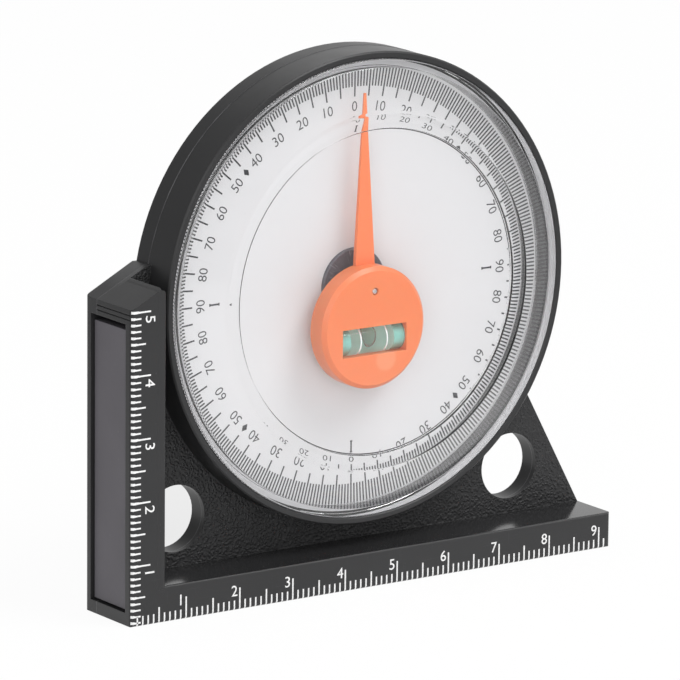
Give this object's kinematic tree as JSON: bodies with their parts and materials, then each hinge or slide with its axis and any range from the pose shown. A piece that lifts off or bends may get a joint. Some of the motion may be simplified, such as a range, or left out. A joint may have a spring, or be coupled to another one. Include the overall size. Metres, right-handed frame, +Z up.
{
  "type": "inclinometer",
  "caption": "Square-edged inclinometer stand with a round degree dial under a clear lens, a weighted pointer carrying a small vial, printed edge rulers and magnet strips.",
  "frame": {"origin": "middle of the base's underside, halfway along its length and depth", "axes": "+X along the base towards its free end, +Y from the dial side to the back cover, +Z up; the dial faces -Y"},
  "size_m": [0.0926, 0.0132, 0.0852],
  "materials": {
    "housing_plastic": "black moulded plastic, smooth edges and a leather grain on the web",
    "cover_plastic": "black moulded plastic, fine satin",
    "screw_steel": "dark zinc",
    "magnet": "flexible magnet strip, satin grey-black",
    "tape": "double-sided tape",
    "card": "white printed card",
    "clear_plastic": "clear polished plastic",
    "hub_plastic": "dark turned plastic with fine streaks",
    "pin_steel": "bright steel",
    "brass": "turned",
    "pointer_plastic": "orange moulded plastic, soft gloss",
    "weight_metal": "plain stamped slug",
    "vial_clear": "clear acrylic",
    "vial_plug": "teal tinted plug",
    "vial_mark": "white printed ring",
    "vial_liquid": "teal tinted liquid",
    "vial_bubble": "clear bubble"
  },
  "bodies": {
    "housing": {"front_housing": "housing_plastic", "rear_cover": "cover_plastic", "cover_screws": "screw_steel", "side_magnet": "magnet", "side_magnet_tape": "tape", "base_magnet": "magnet", "base_magnet_tape": "tape", "dial_card": "card", "card_tape": "tape", "lens": "clear_plastic", "pivot_hub": "hub_plastic", "pivot_pin": "pin_steel", "spacer_collar": "brass", "retaining_ring": "pin_steel"},
    "pointer": {"pointer_blade": "pointer_plastic", "pointer_cap": "pointer_plastic", "counterweight": "weight_metal", "pivot_bush": "brass", "vial_tube": "vial_clear", "vial_plugs": "vial_plug", "vial_rings": "vial_mark", "vial_liquid": "vial_liquid"},
    "bubble": {"vial_bubble": "vial_bubble"}
  },
  "joints": [
    {"name": "pointer_swing", "type": "hinge", "parent": "housing", "child": "pointer", "pos_m": [0.00035, 0, 0.04735], "axis": [0, 1, 0], "continuous": true},
    {"name": "bubble_slide", "type": "slide", "parent": "pointer", "child": "bubble", "axis": [1, 0, 0], "range_m": [-0.0025, 0.0025]}
  ]
}
